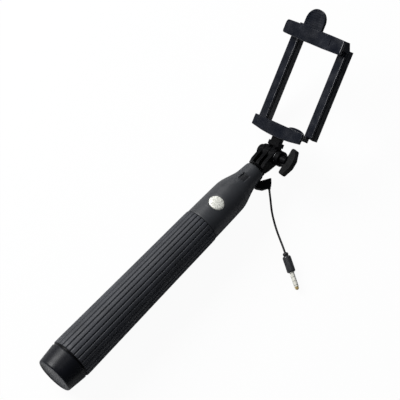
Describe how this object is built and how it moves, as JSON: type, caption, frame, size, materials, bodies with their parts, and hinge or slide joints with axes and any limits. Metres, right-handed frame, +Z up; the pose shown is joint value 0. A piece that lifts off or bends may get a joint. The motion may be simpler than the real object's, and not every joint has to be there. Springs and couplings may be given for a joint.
{
  "type": "selfie stick",
  "caption": "Telescopic hand stick with ribbed grip, shutter button and short jack lead, and a sprung phone clamp on a tilting, turning fork held by a thumb knob.",
  "frame": {"origin": "on the surface the stick lies on, below the middle of the box that the stick and its head fill, the loose lead left out", "axes": "+X along the stick from the end cap to the head, +Z up from the surface, so +Y is to the left of someone looking along the stick towards the head; the shutter button is on top, 14 degrees round towards +Y"},
  "size_m": [0.3358, 0.1493, 0.0818],
  "materials": {
    "cap": "gloss black",
    "rubber_black": "matt",
    "tube_chrome": "polished",
    "grip_rubber": "soft matt, ribbed",
    "housing_plastic": "soft matt",
    "nylon": "natural",
    "board": "solder mask",
    "switch_metal": "stamped",
    "button_silver": "pearly silver",
    "black_gloss": "gloss",
    "plug_plastic": "satin",
    "pin_metal": "plated",
    "plug_black": "smooth",
    "steel": "zinc plated",
    "clamp_plastic": "satin",
    "pad_rubber": "matt"
  },
  "bodies": {
    "handle": {"end_cap": "cap", "cap_seal": "rubber_black", "handle_tube": "tube_chrome", "rubber_grip": "grip_rubber", "upper_housing": "housing_plastic", "base_tube": "tube_chrome", "rear_bush": "nylon", "front_bush": "nylon", "circuit_board": "board", "button_switch": "switch_metal", "cable_lug": "black_gloss", "cable_boot": "rubber_black", "lead_cord": "rubber_black", "plug_boot": "rubber_black", "plug_shell": "plug_plastic", "plug_collar": "pin_metal", "plug_pin": "pin_metal", "plug_insulator_1": "plug_black", "plug_insulator_2": "plug_black", "plug_insulator_3": "plug_black"},
    "shutter_button": {"shutter_button": "button_silver"},
    "tube_1": {"tube_1": "tube_chrome", "tube_1_bush": "nylon"},
    "tube_2": {"tube_2": "tube_chrome", "tube_2_bush": "nylon"},
    "tube_3": {"tube_3": "tube_chrome", "tube_3_bush": "nylon"},
    "tube_4": {"tube_4": "tube_chrome", "tube_4_bush": "nylon"},
    "fork": {"fork": "black_gloss", "hinge_nut": "steel", "hinge_washer": "steel"},
    "knob": {"thumb_knob": "black_gloss", "hinge_screw": "steel"},
    "clamp": {"tilt_knuckle": "black_gloss", "knuckle_screw": "steel", "bottom_jaw": "clamp_plastic", "bottom_pad": "pad_rubber", "rail_left": "clamp_plastic", "rail_right": "clamp_plastic", "clamp_spring_left": "steel", "clamp_spring_right": "steel", "foot_screws": "steel"},
    "slider": {"top_jaw": "clamp_plastic", "top_pad": "pad_rubber", "leg_left": "clamp_plastic", "leg_right": "clamp_plastic"}
  },
  "joints": [
    {"name": "tube_1_slide", "type": "slide", "parent": "handle", "child": "tube_1", "axis": [1, 0, 0], "range_m": [0, 0.17]},
    {"name": "tube_2_slide", "type": "slide", "parent": "tube_1", "child": "tube_2", "axis": [1, 0, 0], "range_m": [0, 0.17]},
    {"name": "tube_3_slide", "type": "slide", "parent": "tube_2", "child": "tube_3", "axis": [1, 0, 0], "range_m": [0, 0.17]},
    {"name": "tube_4_slide", "type": "slide", "parent": "tube_3", "child": "tube_4", "axis": [1, 0, 0], "range_m": [0, 0.17]},
    {"name": "head_swivel", "type": "hinge", "parent": "tube_4", "child": "fork", "pos_m": [0.07269, -0.02121, 0.01707], "axis": [1, 0, 0], "continuous": true},
    {"name": "head_tilt", "type": "hinge", "parent": "fork", "child": "clamp", "pos_m": [0.07269, -0.02121, 0.01707], "axis": [0, -0.7408, 0.6717], "range_deg": [-118, 62]},
    {"name": "knob_turn", "type": "hinge", "parent": "fork", "child": "knob", "pos_m": [0.07269, -0.02121, 0.01707], "axis": [0, -0.7408, 0.6717], "continuous": true},
    {"name": "clamp_slide", "type": "slide", "parent": "clamp", "child": "slider", "axis": [0.8358, 0.3688, 0.4067], "range_m": [0, 0.018], "stiffness_N_per_m": 300, "springref_m": -0.03},
    {"name": "button_press", "type": "slide", "parent": "handle", "child": "shutter_button", "axis": [0, -0.2419, -0.9703], "range_m": [0, 0.0006], "stiffness_N_per_m": 2000, "springref_m": -0.0004}
  ]
}
